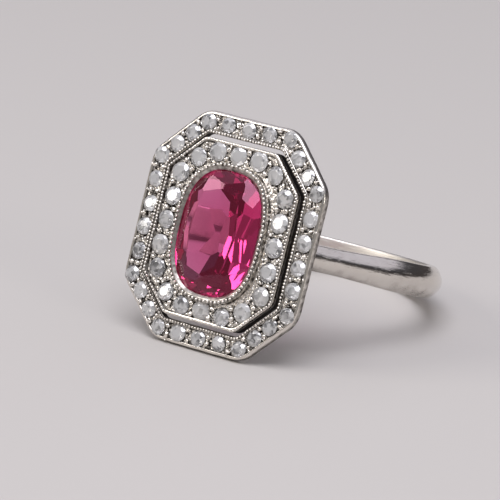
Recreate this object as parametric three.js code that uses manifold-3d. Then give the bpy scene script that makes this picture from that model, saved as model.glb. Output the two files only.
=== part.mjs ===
// A gemstone ring lying at rest. An elongated octagonal plaque, made of an outer frame and a raised
// inner plate with a narrow pierced slot between them, carries a cushion-cut centre stone in a rubbed-over
// collet. A D-section shank rises in two straight shoulders to the back of the plaque.
//
// Ring axes: X across the plaque, Y along the finger, Z out of the head, origin at the hoop's centre.
// The finished group turns and lifts these so that the ring lies on the plaque's lower end and on the
// back of the shank, with Z = 0 as the surface it lies on. All lengths are in millimetres.
import * as THREE from 'three';
import { mergeVertices } from 'three/addons/utils/BufferGeometryUtils.js';
import Module from 'manifold-3d';

const wasm = await Module();
wasm.setup();

// Hoop and shoulders
const fingerRadius = 8.5;
const shankThickness = 1.3;
const crestRise = 0.65;
const backWidth = 2.2;
const shoulderWidth = 1.76;
const widthGrowthStart = 40;
const widthGrowthEnd = 85;
const shoulderReach = 6.6;
const shoulderInnerX = 4.4;
const shoulderLetIn = 0.9;

// Outer frame of the plaque
const plaqueWidth = 14.4;
const plaqueLength = 15.9;
const cornerLeg = 3.5;
const cornerRound = 1.45;
const frameBand = 1.53;
const frameThickness = 0.55;
const frameSlope = 0.1;

// Raised rims and sunk channel for the small stones
const rimWidth = 0.22;
const rimBevel = 0.07;
const channelDepth = 0.12;

// Inner plate
const slotWidth = 0.27;
const plateLift = 0.5;
const plateThickness = 0.5;
const railThickness = 0.35;

// Centre stone
const stoneWidth = 6.5;
const stoneLength = 8.68;
const cushionPower = 2.6;
const girdleHeight = 0.1;
const crownHeight = 0.85;
const pavilionDepth = 2.15;
const tableRatio = 0.62;
const crownBreakShare = 0.13;
const crownBreakRise = 0.62;
const stoneGap = 0.05;

// Collet that holds it
const colletWall = 0.34;
const lipOverGirdle = 0.12;
const lipAboveGirdle = 0.28;
const bearingWidth = 0.22;
const culetClearance = 0.14;
const colletTaper = 0.85;

// Bridges across the slot
const bridgeWidth = 1.6;
const bridgeInnerX = 4.7;
const bridgeRise = 0.35;

// Facet counts
const hoopColumns = 96;
const crestSteps = 8;
const cornerSteps = 3;
const cushionColumns = 48;
const stoneColumns = 16;

// ---- sizes that follow ----
const hoopRadius = fingerRadius + shankThickness;
const sideWall = shankThickness - crestRise;
const frameBack = hoopRadius;
const rimTop = frameBack + frameThickness;
const frameTop = (inset) => rimTop + frameSlope * inset;
const plateInset = frameBand + slotWidth;
const plateTop = rimTop + plateLift;
const plateBack = plateTop - plateThickness;
const culetHeight = fingerRadius + culetClearance;
const girdleBottom = culetHeight + pavilionDepth;
const girdleTop = girdleBottom + girdleHeight;
const stoneRadius = stoneWidth / 2;
const stoneStretch = (stoneLength - stoneWidth) / 2;
const cavityRadius = stoneRadius + stoneGap;
const colletRadius = cavityRadius + colletWall;
const colletTop = girdleTop + lipAboveGirdle;
const colletBottom = culetHeight + stoneGap;
const shoulderTopZ = frameBack + shoulderLetIn * (frameThickness - channelDepth);
const bottomRadius = colletRadius - colletTaper - colletWall;
const crownBreakRadius = stoneRadius * (1 - crownBreakShare);
const crownBreakHeight = crownHeight * crownBreakRise;
const crownSlope = crownBreakHeight / (stoneRadius - crownBreakRadius);
const pavilionSlope = pavilionDepth / stoneRadius;

// ---- geometry helpers ----
function toSolid(geometry) {
  geometry.deleteAttribute('normal');
  geometry.deleteAttribute('uv');
  const merged = mergeVertices(geometry, 1e-5);
  return new wasm.Manifold(new wasm.Mesh({
    numProp: 3,
    vertProperties: new Float32Array(merged.attributes.position.array),
    triVerts: new Uint32Array(merged.index.array),
  }));
}

function toGeometry(solid) {
  const mesh = solid.getMesh();
  const geometry = new THREE.BufferGeometry();
  geometry.setAttribute('position', new THREE.BufferAttribute(mesh.vertProperties, 3));
  geometry.setIndex(new THREE.BufferAttribute(mesh.triVerts, 1));
  geometry.computeVertexNormals();
  return geometry;
}

// A closed profile turned into `columns` copies, each copy placed by place(column, u, v).
function sweptProfile(profile, columns, place) {
  const geometry = new THREE.LatheGeometry(profile, columns);
  const position = geometry.attributes.position;
  for (let column = 0; column <= columns; column += 1) {
    for (let row = 0; row < profile.length; row += 1) {
      const { x, y } = profile[row];
      position.setXYZ(column * profile.length + row, ...place(column % columns, x, y));
    }
  }
  return geometry;
}

// Corner of the octagon, counter-clockwise seen from the front, moved in by `inset` along its mitre.
function octagonCorner(index, inset) {
  const halfX = plaqueWidth / 2 - inset;
  const halfY = plaqueLength / 2 - inset;
  const leg = cornerLeg - inset * (2 - Math.SQRT2);
  const quarter = [
    [halfX, halfY - leg],
    [halfX - leg, halfY],
    [-halfX + leg, halfY],
    [-halfX, halfY - leg],
  ];
  const [x, y] = quarter[index % 4];
  return index < 4 ? [x, y] : [-x, -y];
}

// The outline's own corners are arcs of radius cornerRound. Moved in by `inset` they tighten, and from an
// inset of cornerRound on they are sharp. `share` runs from 0 to 1 along the arc.
function outlinePoint(index, share, inset) {
  const radius = Math.max(cornerRound - inset, 0);
  const [x, y] = octagonCorner(index, Math.max(cornerRound, inset));
  const angle = (Math.PI / 4) * (index + share);
  return [x + radius * Math.cos(angle), y + radius * Math.sin(angle)];
}

function octagonRing(profile) {
  const perCorner = cornerSteps + 1;
  return sweptProfile(profile, 8 * perCorner, (column, inset, z) => {
    const index = Math.floor(column / perCorner);
    const share = (column % perCorner) / cornerSteps;
    return [...outlinePoint(index, share, inset), z];
  });
}

// Cushion outline: an oval of the power cushionPower, stretched along the finger.
function cushionPoint(angle, radius) {
  const c = Math.cos(angle);
  const s = Math.sin(angle);
  const power = Math.abs(c) ** cushionPower + Math.abs(s) ** cushionPower;
  const scale = power ** (-1 / cushionPower);
  return [radius * scale * c, (radius + stoneStretch) * scale * s];
}

function cushionSolid(profile, columns) {
  const step = (2 * Math.PI) / columns;
  return sweptProfile(profile, columns, (column, radius, z) => [...cushionPoint(column * step, radius), z]);
}

const point = (x, y) => new THREE.Vector2(x, y);
const closed = (points) => [...points, points[0].clone()];

// ---- shank with its two shoulders ----
// The outside follows the hoop's circle round the back, then leaves it along the straight line that
// touches the circle and passes through (shoulderReach, frameBack), up to shoulderTopZ.
function makeShank() {
  const reachAngle = Math.atan2(shoulderReach, frameBack);
  const reachDistance = Math.hypot(shoulderReach, frameBack);
  const tangentAngle = reachAngle + Math.acos(hoopRadius / reachDistance);
  const outerRadius = (phi) => {
    const fromHead = Math.abs(phi);
    if (fromHead >= tangentAngle) {
      return hoopRadius;
    }
    const line = hoopRadius / Math.cos(tangentAngle - fromHead);
    const top = shoulderTopZ / Math.cos(fromHead);
    const shoulder = Math.min(line, top);
    return shoulder * Math.sin(fromHead) < shoulderInnerX ? hoopRadius : shoulder;
  };
  const halfWidth = (phi) => {
    const degrees = THREE.MathUtils.radToDeg(Math.abs(phi));
    const growth = THREE.MathUtils.smoothstep(degrees, widthGrowthStart, widthGrowthEnd);
    return THREE.MathUtils.lerp(shoulderWidth, backWidth, growth) / 2;
  };
  // Profile: x is the share of the way from the side wall's top to the crest, or below 0 inside it;
  // y runs from -1 to 1 across the width.
  const profile = [];
  for (let step = 0; step <= crestSteps; step += 1) {
    const across = (2 * step) / crestSteps - 1;
    profile.push(point(1 - across * across, across));
  }
  profile.push(point(-1, 1), point(-1, -1));
  return sweptProfile(closed(profile), hoopColumns, (column, share, across) => {
    const turn = (2 * Math.PI * column) / hoopColumns;
    const phi = turn > Math.PI ? turn - 2 * Math.PI : turn;
    const wallTop = outerRadius(phi) - crestRise;
    const radius = share < 0 ? fingerRadius : wallTop + crestRise * share;
    return [radius * Math.sin(phi), across * halfWidth(phi), radius * Math.cos(phi)];
  });
}

// ---- outer frame: a channel between two raised rims ----
function makeFrame() {
  const innerRim = frameBand - rimWidth;
  return octagonRing(closed([
    point(0, frameBack),
    point(0, frameTop(0)),
    point(rimWidth, frameTop(rimWidth)),
    point(rimWidth + rimBevel, frameTop(rimWidth) - channelDepth),
    point(innerRim - rimBevel, frameTop(innerRim) - channelDepth),
    point(innerRim, frameTop(innerRim)),
    point(frameBand, frameTop(frameBand)),
    point(frameBand, frameBack),
  ]));
}

// ---- inner plate: a rim round a sunk field, on a rail that reaches down to the frame's back ----
function makePlate() {
  const fieldTop = plateTop - channelDepth;
  const innerInset = plaqueWidth / 2 - bottomRadius;
  return octagonRing(closed([
    point(plateInset, frameBack),
    point(plateInset, plateTop),
    point(plateInset + rimWidth, plateTop),
    point(plateInset + rimWidth + rimBevel, fieldTop),
    point(innerInset, fieldTop),
    point(innerInset, plateBack),
    point(plateInset + railThickness, plateBack),
    point(plateInset + railThickness, frameBack),
  ]));
}

// ---- collet and what is cut out of it ----
function makeCollet() {
  return cushionSolid([
    point(0, colletBottom),
    point(colletRadius - colletTaper, colletBottom),
    point(colletRadius, plateBack),
    point(colletRadius, colletTop - rimBevel),
    point(colletRadius - rimBevel, colletTop),
    point(0, colletTop),
  ], cushionColumns);
}

function makeCavity() {
  const lipRadius = stoneRadius - lipOverGirdle;
  const bearingDrop = bearingWidth * pavilionSlope;
  return cushionSolid([
    point(0, fingerRadius - shankThickness),
    point(bottomRadius, fingerRadius - shankThickness),
    point(bottomRadius, colletBottom),
    point(cavityRadius - bearingWidth, girdleBottom - stoneGap - bearingDrop - bearingWidth),
    point(cavityRadius - bearingWidth, girdleBottom - stoneGap - bearingDrop),
    point(cavityRadius, girdleBottom - stoneGap),
    point(cavityRadius, girdleTop + stoneGap),
    point(lipRadius + stoneGap, girdleTop + stoneGap + lipOverGirdle * crownSlope),
    point(lipRadius + stoneGap, colletTop + rimWidth),
    point(0, colletTop + rimWidth),
  ], cushionColumns);
}

// ---- the short bars that join shoulder, frame and plate across the slot ----
function makeBridge(side) {
  const outerX = plaqueWidth / 2 - frameBand + rimWidth;
  const bottom = frameBack - crestRise;
  const top = frameBack + bridgeRise;
  const bridge = new THREE.BoxGeometry(outerX - bridgeInnerX, bridgeWidth, top - bottom);
  bridge.translate(side * (bridgeInnerX + outerX) / 2, 0, (top + bottom) / 2);
  return bridge;
}

const metal = [makeFrame(), makePlate(), makeCollet(), makeBridge(-1), makeBridge(1)]
  .reduce((solid, piece) => solid.add(toSolid(piece)), toSolid(makeShank()))
  .subtract(toSolid(makeCavity()));

// ---- centre stone ----
function makeStone() {
  const tableRadius = stoneRadius * tableRatio;
  return cushionSolid([
    point(0, culetHeight),
    point(stoneRadius, girdleBottom),
    point(stoneRadius, girdleTop),
    point(crownBreakRadius, girdleTop + crownBreakHeight),
    point(tableRadius, girdleTop + crownHeight),
    point(0, girdleTop + crownHeight),
  ], stoneColumns);
}

// ---- the two pieces, laid at rest ----
const mounting = new THREE.Mesh(toGeometry(metal), new THREE.MeshStandardMaterial({
  color: 0xd3d1cc,
  roughness: 0.28,
  metalness: 1,
}));
mounting.name = 'mounting';

const ruby = new THREE.Mesh(toGeometry(toSolid(makeStone())), new THREE.MeshStandardMaterial({
  color: 0xb3174f,
  roughness: 0.06,
  metalness: 0,
}));
ruby.name = 'ruby';

// The lower back edge of the plaque and the lower edge of the shank's back are level when the ring is
// turned by restAngle. The middle of the base of its box is then the origin.
const restAngle = Math.atan2(plaqueLength / 2 - backWidth / 2, frameBack + fingerRadius + sideWall);

const ring = new THREE.Group();
ring.add(mounting, ruby);
ring.rotation.x = Math.PI / 2 - restAngle;

const box = new THREE.Box3().setFromObject(ring, true);
const middle = box.getCenter(new THREE.Vector3());
ring.position.set(-middle.x, -middle.y, -box.min.z);

const object = new THREE.Group();
object.add(ring);

export default object;
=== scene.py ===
# %% [markdown]
# # A ruby and diamond plaque ring
# The ring lies on the lower end of its plaque and on the back of its shank. An outer frame of small
# old-cut diamonds surrounds a raised plate of larger ones, and a cushion-cut ruby sits in a collet
# in the middle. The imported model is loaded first. It is the fixed frame: it says how big the ring
# is and how it lies.

# %% Load the frame
import itertools
import math

import bpy
import numpy as np
from mathutils import Matrix, Vector


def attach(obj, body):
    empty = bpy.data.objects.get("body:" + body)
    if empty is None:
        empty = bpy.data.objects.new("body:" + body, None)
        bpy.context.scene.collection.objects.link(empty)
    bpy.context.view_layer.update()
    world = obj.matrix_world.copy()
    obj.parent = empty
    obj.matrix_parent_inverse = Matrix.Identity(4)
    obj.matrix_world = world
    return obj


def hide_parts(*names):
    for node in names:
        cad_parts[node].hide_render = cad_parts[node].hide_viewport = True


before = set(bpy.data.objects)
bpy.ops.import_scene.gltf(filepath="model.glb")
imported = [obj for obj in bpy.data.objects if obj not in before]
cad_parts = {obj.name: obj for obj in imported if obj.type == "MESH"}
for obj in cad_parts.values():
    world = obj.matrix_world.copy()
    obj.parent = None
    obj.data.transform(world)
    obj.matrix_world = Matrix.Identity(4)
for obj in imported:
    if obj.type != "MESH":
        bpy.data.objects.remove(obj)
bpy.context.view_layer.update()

print("nodes:", sorted(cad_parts))

# %% [markdown]
# A goldsmith thinks of a ring standing upright: X across the plaque, Y along the finger, and Z from
# the middle of the finger hole out through the stone. Every shape below is worked out in those
# axes, in millimetres. One turn and one shift then lay it down, so no piece has to be moved or
# turned afterwards.

# %% From the ring's own axes to the row frame
# The plaque's outline, and how far from its edge the frame ends and the plate begins
PLAQUE_LENGTH, PLAQUE_WIDTH, CORNER_LEG = 15.9, 14.4, 3.5
FRAME_BAND, PLATE_INSET = 1.53, 1.80
RIM_WIDTH, RAIL = 0.22, 0.35
# The hoop and its shoulders
FINGER_RADIUS, HOOP_RADIUS, CREST_RISE = 8.5, 9.8, 0.65
BACK_WIDTH, SHOULDER_WIDTH = 2.2, 1.76
# Heights over the hoop's centre
FRAME_BACK, RIM_TOP, FRAME_SLOPE = 9.8, 10.35, 0.1
PLATE_TOP, PLATE_BACK, CHANNEL_DEPTH = 10.85, 10.35, 0.12
CULET_Z, GIRDLE_TOP, TABLE_Z = 8.64, 10.89, 11.74
COLLET_TOP, COLLET_BOTTOM = 11.17, 8.69
# The ruby's outline and the collet round it
STONE_RADIUS, STONE_STRETCH, CUSHION_POWER = 3.25, 1.09, 2.6
COLLET_RADIUS = 3.64
# Where the hoop's centre is when the ring lies on the ground
HOOP_CENTRE = np.array([0.0, 1.5823, 4.1450])

rest_angle = math.atan2(PLAQUE_LENGTH / 2 - BACK_WIDTH / 2, FRAME_BACK + HOOP_RADIUS - CREST_RISE)
ACROSS = np.array([1.0, 0.0, 0.0])
FINGER = np.array([0.0, math.sin(rest_angle), math.cos(rest_angle)])
OUTWARD = np.array([0.0, -math.cos(rest_angle), math.sin(rest_angle)])


def to_row(points):
    """Ring millimetres to row metres: centre + x times across + y times finger + z times outward."""
    turned = points @ np.stack([ACROSS, FINGER, OUTWARD])
    return (turned + HOOP_CENTRE) / 1000.0


plaque_corner = to_row(np.array([[0.0, -PLAQUE_LENGTH / 2, FRAME_BACK]]))[0]
print("lean in degrees:", round(math.degrees(rest_angle), 2))
print("the plaque's lower back edge is this high, in mm:", round(plaque_corner[2] * 1000, 3))

# %% [markdown]
# Every piece is a grid of points or a set of stones, made as one array. The small helpers number a
# grid's faces, raise its rows and measure along an outline. The last one puts the array into a
# mesh, makes sure the faces look outwards (a closed shell has a positive volume only then), and
# ties the piece to the frame. UV coordinates are kept in millimetres, so that a scratch or a
# polish line has its true size.

# %% Grids, shells and pieces
def grid_faces(rows, columns, wrap_rows, wrap_columns):
    """The four corners of each cell, where point (row, column) is number row * columns + column."""
    r = np.arange(rows if wrap_rows else rows - 1)[:, None]
    c = np.arange(columns if wrap_columns else columns - 1)[None, :]
    r2, c2 = (r + 1) % rows, (c + 1) % columns
    cells = np.stack([r * columns + c, r * columns + c2, r2 * columns + c2, r2 * columns + c], -1)
    return cells.reshape(-1, 4)


def lift(rows_xy, heights):
    """Rows of flat points, each row raised to its own height, as one list of points."""
    z = np.repeat(heights[:, None], rows_xy.shape[1], 1)[..., None]
    return np.concatenate([rows_xy, z], -1).reshape(-1, 3)


def grid_uv(round_mm, across_mm):
    """UV coordinates of a grid, from the millimetres along its columns and across its rows."""
    return np.stack(np.broadcast_arrays(round_mm[None, :], across_mm[:, None]), -1).reshape(-1, 2)


def run_length(points):
    """The distance travelled to each point of a run, 0 at the first."""
    return np.linalg.norm(np.diff(points, axis=0, prepend=points[:1]), axis=1).cumsum()


def walk(lap, first, count):
    """Points of a closed run at `count` even distances, from its point number `first` on."""
    closed = np.concatenate([lap, lap[:1]])
    travelled = run_length(closed)
    wanted = (travelled[first] + travelled[-1] * np.arange(count) / count) % travelled[-1]
    return np.stack([np.interp(wanted, travelled, closed[:, k]) for k in range(2)], 1)


def signed_volume(points, faces):
    """Sum over the faces' fans of a . (b x c) / 6, positive when the faces look outwards."""
    total = 0.0
    for k in range(1, faces.shape[1] - 1):
        a, b, c = points[faces[:, 0]], points[faces[:, k]], points[faces[:, k + 1]]
        total += float(np.einsum("ij,ij->i", a, np.cross(b, c)).sum()) / 6.0
    return total


def new_piece(name, points, face_sets, material, slot, sharp=35.0, uv=None, **values):
    """One object at the origin, from ring points and face arrays of shape (faces, corners)."""
    row_points = to_row(points)
    if sum(signed_volume(row_points, f) for f in face_sets) < 0:
        face_sets = [f[:, ::-1] for f in face_sets]
    loops = np.concatenate([f.ravel() for f in face_sets]).astype(np.int32)
    counts = np.concatenate([np.full(len(f), f.shape[1]) for f in face_sets])
    starts = np.concatenate([[0], np.cumsum(counts)[:-1]]).astype(np.int32)
    mesh = bpy.data.meshes.new(name)
    mesh.vertices.add(len(row_points))
    mesh.vertices.foreach_set("co", row_points.astype(np.float32).ravel())
    mesh.loops.add(len(loops))
    mesh.loops.foreach_set("vertex_index", loops)
    mesh.polygons.add(len(counts))
    mesh.polygons.foreach_set("loop_start", starts)
    mesh.update(calc_edges=True)
    if sharp > 0:
        mesh.polygons.foreach_set("use_smooth", np.ones(len(counts), bool))
        mesh.set_sharp_from_angle(angle=math.radians(sharp))
    else:
        mesh.polygons.foreach_set("use_smooth", np.zeros(len(counts), bool))
    if uv is not None:
        layer = mesh.uv_layers.new(name="surface_mm")
        layer.data.foreach_set("uv", uv[loops].astype(np.float32).ravel())
    for key, value in values.items():
        attribute = mesh.attributes.new(key, "FLOAT", "POINT")
        attribute.data.foreach_set("value", value.astype(np.float32))
    mesh.validate()
    mesh.materials.append(material)
    piece = bpy.data.objects.new(name, mesh)
    bpy.context.scene.collection.objects.link(piece)
    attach(piece, "root")
    triangles = int((counts - 2).sum())
    print(f"{name}: {len(points)} points, {triangles} triangles")
    return piece


# %% [markdown]
# The finishes come next. Platinum that has been worn for a century is not a mirror: it carries fine
# hairline scratches, it is softly greyed by them, and dark grime stays wherever a cloth can't
# reach. The same dark colour also paints shade in hollows, on lower walls and under things. Three
# metals share those effects, so each effect is a node group, made once, and each metal gives it its
# own values.

# %% Helpers for node groups
def link_up(tree, wires):
    """Joins (node, output) to (node, input) for each wire."""
    for source, output, target, target_input in wires:
        tree.links.new(source.outputs[output], target.inputs[target_input])


def new_node(tree, kind, **settings):
    """A node with settings; the key `values` holds the numbers for its unlinked inputs."""
    node = tree.nodes.new(kind)
    for key, value in settings.pop("values", {}).items():
        node.inputs[key].default_value = value
    for key, value in settings.items():
        setattr(node, key, value)
    return node


def new_group(name, inputs, outputs):
    """An empty shader node group with named sockets. Each input is (name, kind, default)."""
    tree = bpy.data.node_groups.new(name, "ShaderNodeTree")
    for label, kind, default in inputs:
        socket = tree.interface.new_socket(
            name=label, in_out="INPUT", socket_type="NodeSocket" + kind
        )
        socket.default_value = default
    for label, kind in outputs:
        tree.interface.new_socket(name=label, in_out="OUTPUT", socket_type="NodeSocket" + kind)
    return tree, tree.nodes.new("NodeGroupInput"), tree.nodes.new("NodeGroupOutput")


def arithmetic(tree, operation, second=0.5):
    """A Math node; `second` is its second number, used while nothing is linked there."""
    return new_node(tree, "ShaderNodeMath", operation=operation, values={1: second})


def noise(tree, detail, scale=5.0):
    """A Noise Texture; its scale counts waves per unit of the coordinate."""
    return new_node(tree, "ShaderNodeTexNoise", values={"Scale": scale, "Detail": detail})


def painted(tree, name):
    """Reads a value that the piece carries at its points."""
    return new_node(tree, "ShaderNodeAttribute", attribute_name=name)


def colour_band(tree, stops):
    """A colour ramp through (position, colour) stops."""
    band = new_node(tree, "ShaderNodeValToRGB")
    first, last = band.color_ramp.elements
    (first.position, first.color), (last.position, last.color) = stops[0], stops[-1]
    for position, colour in stops[1:-1]:
        band.color_ramp.elements.new(position).color = colour
    return band


def ramp(tree, low, high, low_value=0.0, high_value=1.0):
    """A clamped straight line from low_value at `low` to high_value at `high`."""
    node = new_node(tree, "ShaderNodeMapRange")
    node.inputs["From Min"].default_value = low
    node.inputs["From Max"].default_value = high
    node.inputs["To Min"].default_value = low_value
    node.inputs["To Max"].default_value = high_value
    return node


# %% [markdown]
# Hairline scratches are long and thin, and they run mostly one way, because a cloth and a finger
# rub along the shank. A noise that is stretched forty times along the surface's own first direction
# gives streaks. A second, less stretched one at an angle adds the stray marks that cross them.

# %% The hairline scratch group
def make_hairlines():
    """Height is a fine noise plus sharpened strays; streaks is the larger of the two."""
    tree, given, out = new_group(
        "hairline scratches",
        [("Surface mm", "Vector", (0, 0, 0))],
        [("Height", "Float"), ("Streaks", "Float")],
    )
    along = new_node(tree, "ShaderNodeMapping", values={"Scale": (0.35, 14.0, 1.0)})
    across = new_node(
        tree,
        "ShaderNodeMapping",
        values={"Scale": (1.2, 9.0, 1.0), "Rotation": (0.0, 0.0, 0.6)},
    )
    fine = noise(tree, 5.0, 1.0)
    stray = noise(tree, 3.0, 1.0)
    sharpen = ramp(tree, 0.56, 0.70)
    both = arithmetic(tree, "MAXIMUM")
    add = arithmetic(tree, "ADD")
    link_up(tree, [
        (given, "Surface mm", along, "Vector"), (given, "Surface mm", across, "Vector"),
        (along, "Vector", fine, "Vector"), (across, "Vector", stray, "Vector"),
        (stray, "Fac", sharpen, "Value"), (fine, "Fac", add, 0),
        (sharpen, "Result", add, 1), (fine, "Fac", both, 0),
        (sharpen, "Result", both, 1), (add, "Value", out, "Height"),
        (both, "Value", out, "Streaks"),
    ])
    return tree


hairlines = make_hairlines()
print("group:", hairlines.name)

# %% [markdown]
# Grime and painted shade come from a value that each piece carries at its points: 1 deep in a cut
# or where shade is painted, and 0 on an open surface. A cloudy noise breaks its edge, so that it
# looks rubbed and not sprayed. It gives a colour that runs from clean metal to brown-black, grime
# and painted shade together, and a matching roughness.

# %% The grime and painted shade group
def make_grime_shade_group():
    """Mask = grime and painted shade + 0.9 (cloud - 0.5), clamped; roughness = polish + 0.42 mask + 0.14
    cloud.
    """
    tree, given, out = new_group(
        "grime in the recesses",
        [
            ("Grime And Shade", "Float", 0.0),
            ("Clean", "Color", (0.785, 0.745, 0.69, 1.0)),
            ("Grime And Shade Colour", "Color", (0.045, 0.036, 0.030, 1.0)),
            ("Polish", "Float", 0.16),
            ("Cloud Scale", "Float", 2600.0),
        ],
        [("Color", "Color"), ("Roughness", "Float")],
    )
    place = new_node(tree, "ShaderNodeTexCoord")
    clouds = noise(tree, 4.0)
    centre = arithmetic(tree, "SUBTRACT", 0.5)
    swing = arithmetic(tree, "MULTIPLY", 0.9)
    total = arithmetic(tree, "ADD")
    # A high mask gives the brown-black colour: grime, and painted shade in hollows and under things.
    mask = ramp(tree, 0.18, 0.75)
    tint = new_node(tree, "ShaderNodeMix", data_type="RGBA")
    warm = new_node(tree, "ShaderNodeMix", data_type="RGBA", values={7: (0.66, 0.61, 0.55, 1.0)})
    warmth = ramp(tree, 0.35, 0.75, 0.0, 0.55)
    rough = ramp(tree, 0.0, 1.0, 0.0, 0.42)
    dull = arithmetic(tree, "ADD")
    wear = arithmetic(tree, "MULTIPLY_ADD", 0.14)
    link_up(tree, [
        (place, "Object", clouds, "Vector"), (given, "Cloud Scale", clouds, "Scale"),
        (clouds, "Fac", centre, 0), (centre, "Value", swing, 0),
        (swing, "Value", total, 0), (given, "Grime And Shade", total, 1),
        (total, "Value", mask, "Value"), (clouds, "Fac", warmth, "Value"),
        (given, "Clean", warm, 6), (warmth, "Result", warm, 0),
        (warm, 2, tint, 6), (given, "Grime And Shade Colour", tint, 7),
        (mask, "Result", tint, 0), (tint, 2, out, "Color"),
        (mask, "Result", rough, "Value"), (rough, "Result", dull, 0),
        (given, "Polish", dull, 1), (clouds, "Fac", wear, 0),
        (dull, "Value", wear, 2), (wear, "Value", out, "Roughness"),
    ])
    return tree


grime_shade_group = make_grime_shade_group()
print("group:", grime_shade_group.name)

# %% [markdown]
# A setter's graver leaves small bright facets and a hammered, uneven skin between the stones. A
# cell pattern gives the flat little cuts, and a noise gives the unevenness between them.

# %% The graver mark group
def make_graver_marks():
    """Height = distance to the nearest cell centre + 0.35 of a finer noise."""
    tree, given, out = new_group(
        "graver marks",
        [("Cut Scale", "Float", 5200.0), ("Skin Scale", "Float", 9000.0)],
        [("Height", "Float")],
    )
    place = new_node(tree, "ShaderNodeTexCoord")
    cells = new_node(tree, "ShaderNodeTexVoronoi", feature="F1")
    skin = noise(tree, 3.0)
    share = arithmetic(tree, "MULTIPLY", 0.35)
    add = arithmetic(tree, "ADD")
    link_up(tree, [
        (place, "Object", cells, "Vector"), (given, "Cut Scale", cells, "Scale"),
        (place, "Object", skin, "Vector"), (given, "Skin Scale", skin, "Scale"),
        (skin, "Fac", share, 0), (cells, "Distance", add, 0),
        (share, "Value", add, 1), (add, "Value", out, "Height"),
    ])
    return tree


graver_marks = make_graver_marks()
print("group:", graver_marks.name)


# %% [markdown]
# Now the metals. `shank_metal` is polished and hairlined along the hoop. `setting_metal` is cut by
# the graver and holds grime and painted shade. `bead_metal` is what the grains and the milled rows
# are raised from. Fingers polish whatever stands proud, and its lighter clean colour paints a
# highlight besides; the beads are light on top and black round their feet, which is painted shade
# and grime.

# %% White metals
def new_material(name, **values):
    """A material with its tree and its Principled shader, whose sockets take the given values."""
    material = bpy.data.materials.new(name)
    material.use_nodes = True
    shader = material.node_tree.nodes["Principled BSDF"]
    for key, value in values.items():
        shader.inputs[key.replace("_", " ")].default_value = value
    return material, material.node_tree, shader


def place_group(tree, group, **values):
    """One copy of a node group in a material, with its own input values."""
    node = tree.nodes.new("ShaderNodeGroup")
    node.node_tree = group
    for key, value in values.items():
        node.inputs[key.replace("_", " ")].default_value = value
    return node


def add_grime_and_shade(tree, shader, **values):
    """The grime and painted shade group in a metal: the piece's grime and shade value goes in, the base
    colour comes out.
    """
    dirt_and_shade = place_group(tree, grime_shade_group, **values)
    recess = painted(tree, "recess")
    link_up(tree, [(recess, "Fac", dirt_and_shade, "Grime And Shade"), (dirt_and_shade, "Color", shader, "Base Color")])
    return dirt_and_shade


def add_bump(tree, shader, source, output, strength, distance):
    """Sends a height through a Bump node to the normal; strength is a share, distance is in metres."""
    bump = new_node(tree, "ShaderNodeBump", values={"Strength": strength, "Distance": distance})
    link_up(tree, [(source, output, bump, "Height"), (bump, "Normal", shader, "Normal")])


def make_shank_metal():
    """Polished metal: hairlines give the bump, and streaks, grime and wear add to the roughness."""
    material, tree, shader = new_material("shank_metal", Metallic=1.0)
    surface = new_node(tree, "ShaderNodeUVMap", uv_map="surface_mm")
    worn = painted(tree, "worn")
    lines = place_group(tree, hairlines)
    dirt_and_shade = add_grime_and_shade(tree, shader, Polish=0.03, Cloud_Scale=700.0)
    streak = ramp(tree, 0.45, 0.8, 0.0, 0.14)
    total = arithmetic(tree, "ADD")
    dull = arithmetic(tree, "MULTIPLY_ADD", 0.34)
    link_up(tree, [
        (surface, "UV", lines, "Surface mm"), (lines, "Streaks", streak, "Value"),
        (streak, "Result", total, 0), (dirt_and_shade, "Roughness", total, 1),
        (worn, "Fac", dull, 0), (total, "Value", dull, 2),
        (dull, "Value", shader, "Roughness"),
    ])
    add_bump(tree, shader, lines, "Height", 0.35, 0.00002)
    return material


def make_setting_metal():
    """Cut metal: grime and painted shade in its recesses, and graver marks only where `graved` says so.
    """
    material, tree, shader = new_material("setting_metal", Metallic=1.0)
    graved = painted(tree, "graved")
    dirt_and_shade = add_grime_and_shade(tree, shader, Polish=0.12, Cloud_Scale=3200.0)
    cuts = place_group(tree, graver_marks)
    where = arithmetic(tree, "MULTIPLY")
    link_up(tree, [
        (dirt_and_shade, "Roughness", shader, "Roughness"), (cuts, "Height", where, 0),
        (graved, "Fac", where, 1),
    ])
    add_bump(tree, shader, where, "Value", 0.9, 0.00009)
    return material


def make_bead_metal():
    """Metal for beads and grains: a lighter clean colour as a painted highlight, grime and painted shade
    at their feet, and small dents.
    """
    material, tree, shader = new_material("bead_metal", Metallic=1.0)
    # A lighter clean colour than the other metals: a painted highlight on the same platinum.
    painted_highlight_clean = (0.87, 0.83, 0.77, 1.0)
    dirt_and_shade = add_grime_and_shade(tree, shader, Polish=0.12, Cloud_Scale=5000.0, Clean=painted_highlight_clean)
    cuts = place_group(tree, graver_marks, Cut_Scale=9000.0)
    link_up(tree, [(dirt_and_shade, "Roughness", shader, "Roughness")])
    add_bump(tree, shader, cuts, "Height", 0.25, 0.00003)
    return material


shank_metal = make_shank_metal()
setting_metal = make_setting_metal()
bead_metal = make_bead_metal()
print("metals:", [m.name for m in (shank_metal, setting_metal, bead_metal)])

# %% [markdown]
# The shank is a D-section band, flat inside and crowned outside, so it could be a profile swept
# round a circle. But its outside leaves the circle at the shoulders and runs straight up to the
# plaque, so each station round the hoop gets its own outer radius and its own width. A whole array
# of stations is placed at once.

# %% The shank's outline
SHOULDER_REACH, SHOULDER_INNER_X, SHOULDER_TOP = 6.6, 4.4, 10.187
SHANK_END_X, SHANK_STATIONS = 2.55, 560
WIDER_FROM, WIDEST_FROM = 40.0, 85.0
tangent_angle = math.atan2(SHOULDER_REACH, FRAME_BACK) + math.acos(
    HOOP_RADIUS / math.hypot(SHOULDER_REACH, FRAME_BACK)
)


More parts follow.
